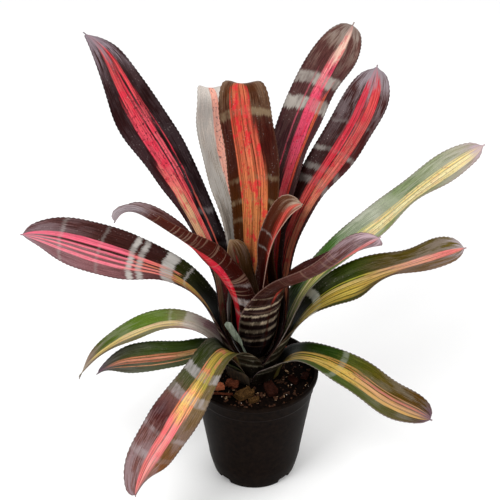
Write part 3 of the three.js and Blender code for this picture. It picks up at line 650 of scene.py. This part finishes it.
# Looks of the leaves' inner sides. Places across run from 0 to 1 between the margins, places along from
# 0 at the base to 1 at the tip.
LOOKS = {
    "leaf_heart": dict(
        ground=[(0, "251307"), (0.6, "422b14"), (0.85, "51371a"), (1, "7d5d3e")],
        stages=[(0, 0, [(0.46, 0.52, "5a2c1c")])], hair=0.2, dashes=0, bloom=(0.7, 0.04, 0.22),
        tip=(0.93, 0.7, "9a8264"), rim=(0.6, "8a7458")),
    "leaf_inner_right": dict(
        ground=[(0, "1c0503"), (0.5, "310a07"), (0.8, "461f13"), (1, "593622")],
        ground_low=[(0, "260503"), (0.5, "560d09"), (0.85, "742c1f"), (1, "835342")],
        stages=[(0, 0, [(0.14, 0.17, "a02c20"), (0.2, 0.23, "b03428"), (0.26, 0.44, "d85c50"),
                (0.5, 0.53, "a02c20"), (0.57, 0.59, "8a2018")]),
            (0.85, 0.1, [(0.22, 0.44, "c05a4a")])], hair=0.45, dashes=0.1, blotches=("b02028", 0.3),
        bands=[(0.62, 0.63, 0.5), (0.71, 0.72, 0.5)], bloom=(0.86, 0.02, 0.4), bloom_colour="b8a490",
        tip=(0.94, 0.8, "b49c88"), rim=(0.7, "b09080")),
    "leaf_inner_left": dict(
        ground=[(0, "180603"), (0.5, "34100a"), (1, "5f3732")],
        stages=[(0, 0, [(0.36, 0.64, "c82030")]), (0.45, 0.2, [(0.42, 0.58, "b83030")])], hair=0.3,
        dashes=0.1, bloom=(0.75, 0.02, 0.6), bloom_colour="b0a0a4", tip=(0.9, 0.8, "a09498")),
    "leaf_inner_front": dict(
        ground=[(0, "190603"), (0.5, "35130b"), (0.75, "3c1814"), (0.93, "542c28"), (1, "8a6464")],
        stages=[(0, 0, [(0.4, 0.6, "c82a28")]), (0.7, 0.2, [(0.4, 0.58, "c86458")])], hair=0.3, dashes=0,
        bloom=(0.8, 0.02, 0.3), bloom_colour="a8909a", tip=(0.93, 0.7, "c4a8ae")),
    "leaf_rear_middle": dict(
        ground=[(0, "1a0802"), (0.35, "371906"), (0.55, "3d1d05"), (0.7, "350e08"), (0.84, "39120a"),
            (0.9, "462612"), (1, "5f3923")],
        stages=[(0, 0, [(0.24, 0.4, "c97543"), (0.415, 0.57, "c97846"), (0.585, 0.78, "c57543")]),
            (0.55, 0.15, [(0.3, 0.44, "c75b43"), (0.455, 0.6, "c96a4a"), (0.615, 0.79, "c56343")]),
            (0.74, 0.1, [(0.38, 0.56, "c14d3c"), (0.57, 0.79, "b73f2e")]),
            (0.88, 0.06, [(0.44, 0.58, "ba6743"), (0.59, 0.74, "b35b3c")])], hair=0.52,
        blotches=("cc2030", 0.75), dashes=0.35, dash_colour="5a1410", wander=0.025,
        bands=[(0.49, 0.505, 0.35), (0.555, 0.57, 0.4), (0.63, 0.645, 0.35), (0.845, 0.87, 0.5)],
        band_colour="8f7c60", bloom=(0.8, 0.02, 0.26), bloom_colour="9a8a74", tip=(0.96, 0.6, "8a7460"),
        rim=(0.4, "5a4030")),
    "leaf_rear_silver": dict(
        ground=[(0, "3d352e"), (0.45, "81776c"), (0.62, "a89f94"), (0.8, "c6bcb2"), (1, "d2c8c0")],
        stages=[(0, 0, [(0.45, 0.62, "eaa08c")])], hair=0.1, blotches=("f0b8a0", 0.3), dashes=0.85,
        dash_colour="4a2c34", dashed=(0.55, 0.95), bloom=(0.3, 0.5, 0.8), bloom_colour="b4b0aa",
        tip=(0.97, 0.4, "a09088"), rim=(0.3, "6a6058")),
    "leaf_rear_tall": dict(
        ground=[(0, "120505"), (0.4, "28100f"), (0.6, "402326"), (0.8, "462625"), (1, "624039")],
        stages=[(0, 0, [(0.2, 0.28, "c13a2c"), (0.29, 0.5, "d45058"), (0.66, 0.69, "c13c50")]),
            (0.5, 0.1, [(0.18, 0.27, "c35a3a"), (0.28, 0.56, "d94a66"), (0.66, 0.685, "c3586b")]),
            (0.74, 0.06, [(0.36, 0.42, "db4a66"), (0.43, 0.58, "db6d78")]),
            (0.82, 0.06, [(0.37, 0.55, "e4b9a6")]),
            (0.94, 0.05, [(0.4, 0.55, "db9592")])], hair=0.3, blotches=("c8203c", 0.5), dashes=0.5,
        dashed=(0.45, 0.8), wander=0.03, bands=[(0.455, 0.465, 0.4), (0.7, 0.735, 1.0), (0.775, 0.81, 0.8)],
        band_colour="a09a92", band_gaps=0.5, bloom=(0.82, 0.05, 0.56), bloom_colour="a49688",
        tip=(0.93, 0.7, "8a7e76"), rim=(0.5, "3a2626")),
    "leaf_right_upright": dict(
        ground=[(0, "0f0403"), (0.4, "1a0705"), (0.62, "2a100e"), (0.85, "341716"), (1, "533433")],
        ground_low=[(0, "180703"), (0.4, "34130b"), (0.62, "421716"), (0.85, "3b1a19"), (1, "684947")],
        stages=[(0, 0, [(0.2, 0.5, "d88664"), (0.52, 0.56, "ba4a3b"), (0.58, 0.72, "c9534a")]),
            (0.5, 0.16, [(0.22, 0.5, "d6645b"), (0.52, 0.68, "c53742")]),
            (0.72, 0.14, [(0.24, 0.46, "c94444"), (0.475, 0.5, "a42433"), (0.52, 0.66, "c53042")]),
            (0.93, 0.05, [(0.36, 0.5, "c14255"), (0.52, 0.62, "ba334a")])], hair=0.52,
        blotches=("b81830", 0.6), dashed=(0.4, 0.75), wander=0.03,
        bands=[(0.58, 0.605, 0.6), (0.63, 0.65, 0.5), (0.695, 0.71, 0.7), (0.8, 0.81, 0.25)],
        band_colour="8c8680", bloom=(0.7, 0.03, 0.52), bloom_colour="9a8f92", tip=(0.92, 0.75, "8c8288"),
        rim=(0.4, "2a1414")),
    "leaf_left_tall": dict(
        ground=[(0, "130503"), (0.3, "250c0d"), (0.5, "321214"), (0.8, "240d0d"), (1, "482a28")],
        ground_low=[(0, "0c0403"), (0.3, "130806"), (0.5, "1b0b0d"), (0.8, "240e0e"), (1, "3b211f")],
        stages=[(0, 0, [(0.25, 0.28, "c86050"), (0.38, 0.5, "dc6a60"), (0.52, 0.8, "e8b488")]),
            (0.48, 0.04, [(0.25, 0.265, "c04848"), (0.345, 0.42, "e05058"), (0.44, 0.46, "c03848"),
                (0.475, 0.75, "e2706a")]),
            (0.55, 0.05, [(0.24, 0.255, "b83a44"), (0.32, 0.41, "dc5864"), (0.44, 0.67, "d24656")]),
            (0.7, 0.1, [(0.27, 0.34, "d8484e"), (0.39, 0.44, "c83844"), (0.46, 0.61, "d4484e")]),
            (0.84, 0.08, [(0.32, 0.38, "d84444"), (0.44, 0.47, "c83a3c"), (0.5, 0.58, "d84a48")])],
        hair=0.52, blotches=("c81838", 0.55), dashes=0.8, dash_colour="2a0a12", dashed=(0.5, 0.76),
        wander=0.03, bands=[(0.43, 0.445, 0.35), (0.33, 0.34, 0.2)], band_colour="8a8484",
        bloom=(0.84, 0.04, 0.45), bloom_colour="a89ca4", tip=(0.9, 0.85, "8c7c84"), rim=(0.5, "1a0e0e")),
    "leaf_right_high": dict(
        ground=[(0, "1f2e0e"), (0.25, "2d4611"), (0.44, "46682e"), (0.54, "8c957c"), (0.62, "a2a692"),
            (0.69, "74845a"), (0.85, "8a9070"), (1, "a8988c")],
        ground_low=[(0, "222f0e"), (0.35, "4b6621"), (0.6, "848e57"), (0.85, "807d60"), (1, "a88e83")],
        stages=[(0, 0, [(0.24, 0.34, "c8c870"), (0.36, 0.44, "e0d080"), (0.47, 0.5, "c0c848"),
                (0.53, 0.6, "e8dc98"), (0.63, 0.66, "a8b840")]),
            (0.5, 0.1, [(0.22, 0.36, "ead898"), (0.375, 0.48, "f0e2a8"), (0.5, 0.58, "e6cf88"),
                (0.6, 0.64, "d8c88c")])], hair=0.35, blotches=("e0a880", 0.35), dashes=0.55,
        dash_colour="7a3c20", dashed=(0.5, 0.88), wander=0.03, bands=[(0.56, 0.62, 0.4), (0.66, 0.7, 0.25)],
        band_colour="b8bca8", bloom=(0.5, 0.15, 0.5), bloom_colour="a8aa9c", tip=(0.94, 0.85, "b098a4"),
        rim=(0.55, "8c7878")),
    "leaf_left_spread": dict(
        ground=[(0, "0f0503"), (0.25, "1c0b05"), (0.42, "2a140b"), (0.5, "54302e"), (0.7, "7c5254"),
            (1, "8c6468")],
        ground_low=[(0, "0d0704"), (0.3, "131404"), (0.42, "262a07"), (0.46, "2b290c"), (0.5, "321612"),
            (0.75, "3a1c18"), (1, "604040")],
        stages=[(0, 0, [(0.5, 0.7, "c8a450"), (0.72, 0.82, "b87c48")]),
            (0.44, 0.03, [(0.38, 0.46, "ea7c70"), (0.5, 0.54, "e08868"), (0.58, 0.63, "e89080"),
                (0.67, 0.73, "e88878")]),
            (0.56, 0.08, [(0.33, 0.44, "ee6c82"), (0.49, 0.53, "e87888"), (0.58, 0.63, "ee7c8a"),
                (0.68, 0.75, "ee8290")])], hair=0.3, blotches=("e04868", 0.3), dashes=0.12, wander=0.02,
        bands=[(0.4, 0.408, 0.8), (0.455, 0.5, 1.0), (0.565, 0.585, 0.8), (0.6, 0.62, 0.9),
            (0.72, 0.73, 0.2), (0.86, 0.87, 0.3)], band_gaps=0.6, band_on_stripe=0.6, band_colour="b8b4ae",
        bloom=(0.75, 0.01, 0.35), bloom_colour="a4969c", tip=(0.96, 0.6, "a08e98"), rim=(0.4, "3a2424")),
    "leaf_right_spread": dict(
        ground=[(0, "0e0d01"), (0.25, "171901"), (0.4, "1d2701"), (0.55, "2f3b02"), (0.66, "4e4112"),
            (1, "62531e")],
        ground_low=[(0, "110e01"), (0.3, "2f3204"), (0.5, "394306"), (0.62, "444311"), (0.7, "5e4626"),
            (1, "6a502f")],
        stages=[(0, 0, [(0.1, 0.2, "c0a848"), (0.22, 0.34, "dcc25c"), (0.36, 0.46, "d0b44c"),
                (0.48, 0.56, "d8c070"), (0.59, 0.62, "a8a838")]),
            (0.54, 0.12, [(0.3, 0.4, "d8b060"), (0.42, 0.52, "e0b878"), (0.54, 0.62, "d8a878")]),
            (0.68, 0.1, [(0.38, 0.48, "e09c80"), (0.5, 0.64, "e8a08c")]),
            (0.84, 0.06, [(0.4, 0.6, "dc7470")])], blotches=("d8a040", 0.2), dashes=0.25,
        dash_colour="5c3820", wander=0.03, bands=[(0.345, 0.385, 0.95)], band_on_stripe=0.0, band_gaps=0.7,
        band_colour="c4c4b4", bloom=(0.6, 0.06, 0.56), bloom_colour="948888", tip=(0.955, 0.85, "a89ca0"),
        rim=(0.4, "5a3c34")),
    "leaf_front_low": dict(
        ground=[(0, "1f1d05"), (0.3, "514e1d"), (0.5, "6e5a3a"), (0.7, "644728"), (0.85, "754a2b"),
            (1, "88503f")],
        ground_low=[(0, "1c2105"), (0.34, "293209"), (0.46, "424523"), (0.55, "64413d"), (0.62, "441918"),
            (0.72, "66413b"), (1, "744b46")],
        stages=[(0, 0, [(0.38, 0.42, "997d3e"), (0.44, 0.6, "ad953e"), (0.62, 0.74, "9c8f3e")]),
            (0.44, 0.08, [(0.36, 0.4, "c87850"), (0.42, 0.6, "e8b868"), (0.62, 0.7, "e0a060")]),
            (0.58, 0.08, [(0.38, 0.5, "e8706c"), (0.52, 0.66, "ee8480")]),
            (0.74, 0.1, [(0.38, 0.48, "e07872"), (0.5, 0.58, "e8948c"), (0.6, 0.68, "d88078")])], hair=0.35,
        blotches=("e85a6c", 0.35), dash_colour="6a3420", dashed=(0.3, 0.6), wander=0.03,
        bands=[(0.385, 0.43, 0.6), (0.5, 0.545, 0.5), (0.7, 0.72, 0.3), (0.8, 0.83, 0.3)],
        band_colour="aaa4a4", bloom=(0.55, 0.06, 0.45), bloom_colour="a89ca2", tip=(0.95, 0.7, "8a7078"),
        rim=(0.5, "4a3a34")),
    "leaf_left_arched": dict(
        ground=[(0, "5c423d"), (0.3, "b88d95"), (0.42, "977f67"), (0.52, "646439"), (0.8, "604c31"),
            (1, "8d665d")],
        ground_low=[(0, "5c423d"), (0.26, "ac8589"), (0.36, "7f794c"), (0.46, "5c7328"), (0.6, "526b1e"),
            (0.78, "46501c"), (0.88, "6f4c40"), (1, "8d665d")],
        stages=[(0, 0, [(0.3, 0.7, "dccfc0")]),
            (0.34, 0.06, [(0.42, 0.56, "e0c890"), (0.58, 0.7, "d8c080")]),
            (0.62, 0.1, [(0.42, 0.54, "ccb468"), (0.56, 0.66, "c0a45c")]),
            (0.84, 0.06, [(0.44, 0.6, "a08c6c")])], hair=0.3, blotches=("c89888", 0.3),
        dash_colour="6a3c30", bloom=(0.3, 0.12, 0.3), bands=[(0.27, 0.37, 0.6), (0.43, 0.44, 0.3)],
        band_colour="d4ccc4", bloom_colour="a8a894", tip=(0.88, 0.8, "8c7e6a"), rim=(0.5, "5c5038")),
    "leaf_left_low": dict(
        ground=[(0, "181c06"), (0.3, "3c4424"), (0.6, "4c5038"), (0.85, "4c483e"), (1, "4c3c44")],
        ground_low=[(0, "141805"), (0.3, "26320c"), (0.6, "344214"), (0.8, "46482e"), (1, "584850")],
        stages=[(0, 0, [(0.36, 0.46, "b08858"), (0.48, 0.56, "c8a070"), (0.7, 0.74, "b8a068")]),
            (0.42, 0.1, [(0.36, 0.42, "c07c58"), (0.44, 0.52, "cc8468"), (0.54, 0.6, "b87458"),
                (0.7, 0.74, "cc9068")]),
            (0.86, 0.08, [(0.42, 0.56, "b07868")])], blotches=("a85840", 0.3), dashes=0.45,
        dash_colour="5c3428", bloom=(0.5, 0.05, 0.35), bloom_colour="7c8278", tip=(0.92, 0.85, "604858"),
        rim=(0.4, "3c4428")),
    "leaf_right_low": dict(
        ground=[(0, "090f01"), (0.25, "142301"), (0.42, "1f3402"), (0.52, "454a0c"), (0.7, "514210"),
            (0.85, "50370e"), (1, "41280d")],
        ground_low=[(0, "151c03"), (0.3, "3a4714"), (0.5, "40501b"), (0.7, "4f5226"), (0.88, "554927"),
            (1, "402a1b")],
        stages=[(0, 0, [(0.3, 0.4, "be9e51"), (0.42, 0.5, "c2a558"), (0.53, 0.58, "a99438"),
                (0.62, 0.68, "b39148")]),
            (0.34, 0.1, [(0.28, 0.4, "bea14b"), (0.42, 0.58, "c2a451"), (0.61, 0.64, "a9733e"),
                (0.67, 0.71, "b0874b")]),
            (0.54, 0.1, [(0.32, 0.42, "c2985e"), (0.44, 0.54, "c59468"), (0.57, 0.63, "b77362"),
                (0.67, 0.69, "b0815e")])], hair=0.35, blotches=("c89448", 0.35), dashes=0.55,
        dash_colour="6c3c20", dashed=(0.36, 0.6), wander=0.03, bands=[(0.47, 0.5, 0.3)],
        band_colour="a8aca0", bloom=(0.5, 0.02, 0.3), bloom_colour="9a9a90", tip=(0.93, 0.85, "6a5260"),
        rim=(0.5, "7c6c6c")),
}

# Outer sides: duller, with fine lines straight across, and the stripe showing through as a keel.
OUTER_SEED = 21
GREEN_LEAVES = ("leaf_right_high", "leaf_right_spread", "leaf_front_low", "leaf_left_arched",
                "leaf_left_low", "leaf_right_low")
SHEATH_BANDS = [(0.1, 0.112, 0.8), (0.15, 0.158, 0.6), (0.2, 0.212, 0.9), (0.26, 0.275, 0.7)]
MAROON_BACK = dict(
    ground=[(0, "1a0a06"), (0.3, "24100a"), (0.5, "32180f"), (1, "4a3430")],
    stages=[(0, 0, [(0.44, 0.56, "8c2c26")])], hair=0.2, dashes=0.1, cross_lines=0.3,
    bands=SHEATH_BANDS + [(0.4, 0.41, 0.4), (0.62, 0.63, 0.4)], band_colour="a89c84",
    bloom=(0.5, 0.02, 0.3), bloom_colour="8c7c7c", tip=(0.95, 0.6, "8a7878"))
GREEN_BACK = dict(
    ground=[(0, "20120a"), (0.25, "2a2410"), (0.5, "3c4a20"), (1, "5a5848")],
    stages=[(0, 0, [(0.42, 0.58, "a09450")])], hair=0.3, dashes=0.2, cross_lines=0.2, bands=SHEATH_BANDS,
    band_colour="a8a088", bloom=(0.5, 0.02, 0.3), bloom_colour="8c9080", tip=(0.93, 0.7, "6a5a5c"))
OUTER_LOOKS = {
    "leaf_inner_left": dict(
        ground=[(0, "120402"), (0.3, "260a06"), (0.5, "380e08"), (0.85, "44180f"), (1, "94868a")],
        stages=[(0, 0, [(0.2, 0.58, "c41426")]),
            (0.36, 0.06, [(0.3, 0.58, "cc2438")]),
            (0.5, 0.1, [(0.42, 0.57, "b83436")])], hair=0.3, blotches=("d8485c", 0.4), dashes=0.1,
        cross_lines=0.35, wander=0.02, bands=[(0.23, 0.245, 0.7), (0.285, 0.315, 0.9), (0.37, 0.38, 0.4)],
        band_on_stripe=0.6, band_colour="a89c98", bloom=(0.86, 0.0, 0.9), bloom_colour="a89ea2",
        tip=(0.9, 0.8, "a09498"), rim=(0.5, "6a4a40")),
    "leaf_inner_right": dict(
        ground=[(0, "180503"), (0.5, "380d08"), (0.8, "521c12"), (1, "6e4a3a")],
        stages=[(0, 0, [(0.3, 0.33, "8c2018"), (0.36, 0.38, "a43024"), (0.42, 0.58, "cc5044")])],
        dashes=0.1, cross_lines=0.12, bands=[(0.62, 0.63, 0.5), (0.71, 0.72, 0.5)], band_colour="9a8474",
        bloom=(0.82, 0.02, 0.4), bloom_colour="a89080", tip=(0.93, 0.8, "b49c88"), rim=(0.7, "a08474")),
    "leaf_inner_front": dict(
        ground=[(0, "0c0402"), (0.2, "120503"), (0.45, "2a0e07"), (0.64, "442018"), (0.82, "563430"),
            (1, "8c7478")],
        stages=[(0, 0, [(0.46, 0.5, "2c0e08")]),
            (0.36, 0.08, [(0.44, 0.54, "b83c30")]),
            (0.66, 0.1, [(0.42, 0.56, "d0645c")])], hair=0.2, blotches=("5a1812", 0.2), dashes=0,
        cross_lines=0.2, wander=0.02, ragged=0.014, bow=0.03,
        bands=[(0.13, 0.142, 0.8), (0.178, 0.194, 1.0), (0.222, 0.24, 1.0), (0.268, 0.28, 0.85),
            (0.32, 0.332, 0.8), (0.39, 0.396, 0.4)], band_colour="b8a68c", band_gaps=0.15,
        bloom=(0.72, 0.02, 0.6), bloom_colour="a49096", tip=(0.94, 0.7, "c0a4ac"), rim=(0.6, "7a6056")),
}


def mottled_material(name, dark, light, grain, roughness, bump, ior=1.45, stretch=(1, 1, 1), specular=0.5):
    """A dull natural surface in two tones. Its grain and the depth of its bump are in mm."""
    material, tree, shader = new_material(name, roughness, ior=ior, specular=specular)
    place = node(tree, "Mapping", {0: node(tree, "TexCoord").outputs["Object"], "Scale": stretch})
    mottle = node(tree, "TexNoise", {"Vector": place, "Scale": 1 / (grain * MM), "Detail": 5.0,
                                     "Roughness": 0.65})
    colour = node(tree, "ValToRGB", {0: mottle}, stops=[(0.35, dark), (0.68, light)])
    tree.links.new(colour.outputs[0], shader.inputs["Base Color"])
    relief = node(tree, "Bump", {"Strength": 0.8, "Distance": bump * MM, "Height": mottle})
    tree.links.new(relief.outputs[0], shader.inputs["Normal"])
    return material


# Pot: thin moulded polypropylene. It gives the eye a warm black with a soft, low sheen.
pot_plastic = mottled_material("black_polypropylene", "0a0605", "18100b", 6, 0.42, 0.02, ior=1.15,
                               specular=0.12)
# Mix: peat and fine bark, wet. Nearly black, lumpy and quite matt.
peat = mottled_material("peat_and_bark_fines", "030202", "180e09", 2.2, 0.95, 0.8, specular=0.05)
# Grit: broken perlite. Small chalky points, the brightest thing on the mix.
grit = mottled_material("pale_perlite_grit", "b8aa98", "e8e0d4", 1.5, 0.8, 0.2)
# Crumbs: bark broken small, dry brown and dull, and splinters of pale wood, straw-coloured.
crumb_brown = mottled_material("bark_crumbs", "1c100b", "5c3a26", 4, 0.9, 0.3, specular=0.2)
crumb_pale = mottled_material("pale_wood_crumbs", "7a5a40", "ccaa84", 4, 0.9, 0.3, specular=0.2)
# Chips: pine bark, rough and dull. Its inner face is orange where it split and its outer face
# red-brown; a weathered chip is olive-brown, and a wet one nearly black with some red in it.
BARKS = {
    "orange": mottled_material("pine_bark_inner_face", "8a3c22", "d07a50", 2.4, 0.85, 0.5,
                               stretch=(1, 2.5, 2)),
    "red_brown": mottled_material("pine_bark_outer_face", "3c1a10", "8c4c34", 2.4, 0.85, 0.5,
                                  stretch=(1, 2.5, 2), specular=0.1),
    "olive": mottled_material("weathered_bark", "180e06", "6c4c28", 1.8, 0.9, 0.6, stretch=(1, 2.5, 2),
                              specular=0.1),
    "dark_red": mottled_material("wet_bark", "120704", "3c190e", 2.4, 0.8, 0.5, stretch=(1, 2.5, 2),
                                 specular=0.1),
}
# Crown: a fibrous stem, brown and dull, seen only in the gaps between sheaths.
crown_fibre = mottled_material("crown_fibre", "1c120c", "4a3826", 2, 0.9, 0.3)
# Base of a shed leaf: papery and dark brown, its fibres running upward.
dry_leaf = mottled_material("dry_leaf_base", "140e08", "4a3822", 3, 0.8, 0.3, stretch=(1, 1, 0.3))
# Cut strip: a leaf that is drying, grey-green, its wax gone.
cut_leaf = mottled_material("cut_leaf_green", "384034", "7c8474", 3, 0.65, 0.2, stretch=(1, 1, 0.25))

# Making the plant
make_pot(pot_plastic)
make_mix(peat)
make_crumbs("mix_crumbs_brown", 420, 1, (1.2, 4.2), crumb_brown)
make_crumbs("mix_crumbs_pale", 90, 2, (0.8, 2.8), crumb_pale, flat=0.5, long=2.0)
make_crumbs("mix_grit", 26, 3, (0.7, 1.6), grit, flat=0.9)
for index, chip in enumerate(CHIPS):
    make_chip(index, chip, BARKS[chip["bark"]])
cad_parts["crown"].data.materials.clear()
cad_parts["crown"].data.materials.append(crown_fibre)
for layer, (name, leaf) in enumerate(LEAVES.items()):
    face = blade_material(name + "_inner_side", LOOKS[name], leaf["length"], layer + 1)
    plain_back = GREEN_BACK if name in GREEN_LEAVES else MAROON_BACK
    back_seed = OUTER_SEED + layer if name in OUTER_LOOKS else 1
    back_look = OUTER_LOOKS.get(name, plain_back)
    back = blade_material(name + "_outer_side", back_look, leaf["length"], back_seed)
    grow_leaf(name, leaf, layer, face, back, "leaf_blade")
grow_leaf("cut_leaf_strip", REMNANTS["cut_leaf_strip"], 0, cut_leaf, cut_leaf, "cut_leaf", columns=4)
grow_leaf("old_leaf_base", REMNANTS["old_leaf_base"], 0, dry_leaf, dry_leaf, "dry_leaf", columns=10)

# Floor: one wide sheet of white paper under the pot.
bpy.ops.mesh.primitive_plane_add(size=12)
floor = bpy.context.object
floor.name = "floor"
paper, tree, shader = new_material("white_paper", 0.9)
shader.inputs["Base Color"].default_value = grey(0.98)
floor.data.materials.append(paper)

# Light
world = bpy.data.worlds.new("studio")
bpy.context.scene.world = world
world.use_nodes = True
sky = world.node_tree.nodes["Background"]
sky.inputs["Color"].default_value = grey(1)
sky.inputs["Strength"].default_value = 0.9


def add_softbox(name, place, aim, size, power):
    lamp = bpy.data.lights.new(name, "AREA")
    lamp.energy = power
    lamp.size = size
    holder = bpy.data.objects.new(name, lamp)
    holder.location = place
    holder.rotation_euler = (Vector(aim) - Vector(place)).to_track_quat("-Z", "Y").to_euler()
    bpy.context.scene.collection.objects.link(holder)


add_softbox("key_softbox", (-0.9, -1.0, 1.9), (0, 0, 0.3), 0.9, 22)
add_softbox("fill_softbox", (1.2, -0.7, 1.4), (0, 0, 0.25), 1.0, 8)

camera = bpy.data.objects.new("camera", bpy.data.cameras.new("camera"))
camera.location = (-0.0054, -1.1464, 1.0732)
camera.rotation_euler = (math.radians(56.8), 0, 0)
camera.data.lens = 86.4
camera.data.sensor_width = 36
bpy.context.scene.collection.objects.link(camera)
bpy.context.scene.camera = camera
bpy.context.scene.view_settings.view_transform = "Standard"
